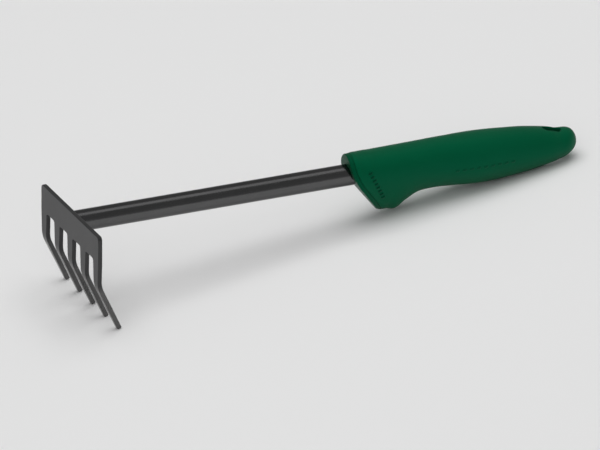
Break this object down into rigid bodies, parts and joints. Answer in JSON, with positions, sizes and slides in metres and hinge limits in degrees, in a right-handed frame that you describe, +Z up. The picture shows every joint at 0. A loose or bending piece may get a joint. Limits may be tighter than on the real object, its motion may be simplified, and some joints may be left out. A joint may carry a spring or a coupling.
{
  "type": "hand cultivator",
  "caption": "Hand rake with a bent five-tine steel head, a round steel tube and a moulded green grip with finger guard and hang slot.",
  "frame": {"origin": "middle of the tool's footprint on flat ground, at ground level", "axes": "+X from the tine head towards the butt of the grip, +Y across the tines, +Z up; the tool lies at rest on its tine tips and the underside of the butt, so its tube slopes down towards the butt by 7.9 degrees"},
  "size_m": [0.2974, 0.0794, 0.0585],
  "materials": {
    "steel_sheet": "dark satin steel sheet, stamped and lightly blasted",
    "steel_tube": "dark satin drawn steel tube",
    "weld_metal": "rippled weld metal, darker than the sheet",
    "core_plastic": "fine-textured dark green moulding",
    "grip_plastic": "fine-textured dark green moulding, satin"
  },
  "bodies": {
    "root": {"rake_head": "steel_sheet", "shaft_tube": "steel_tube", "weld_bead": "weld_metal", "handle_core": "core_plastic", "grip_sleeve": "grip_plastic"}
  },
  "joints": []
}
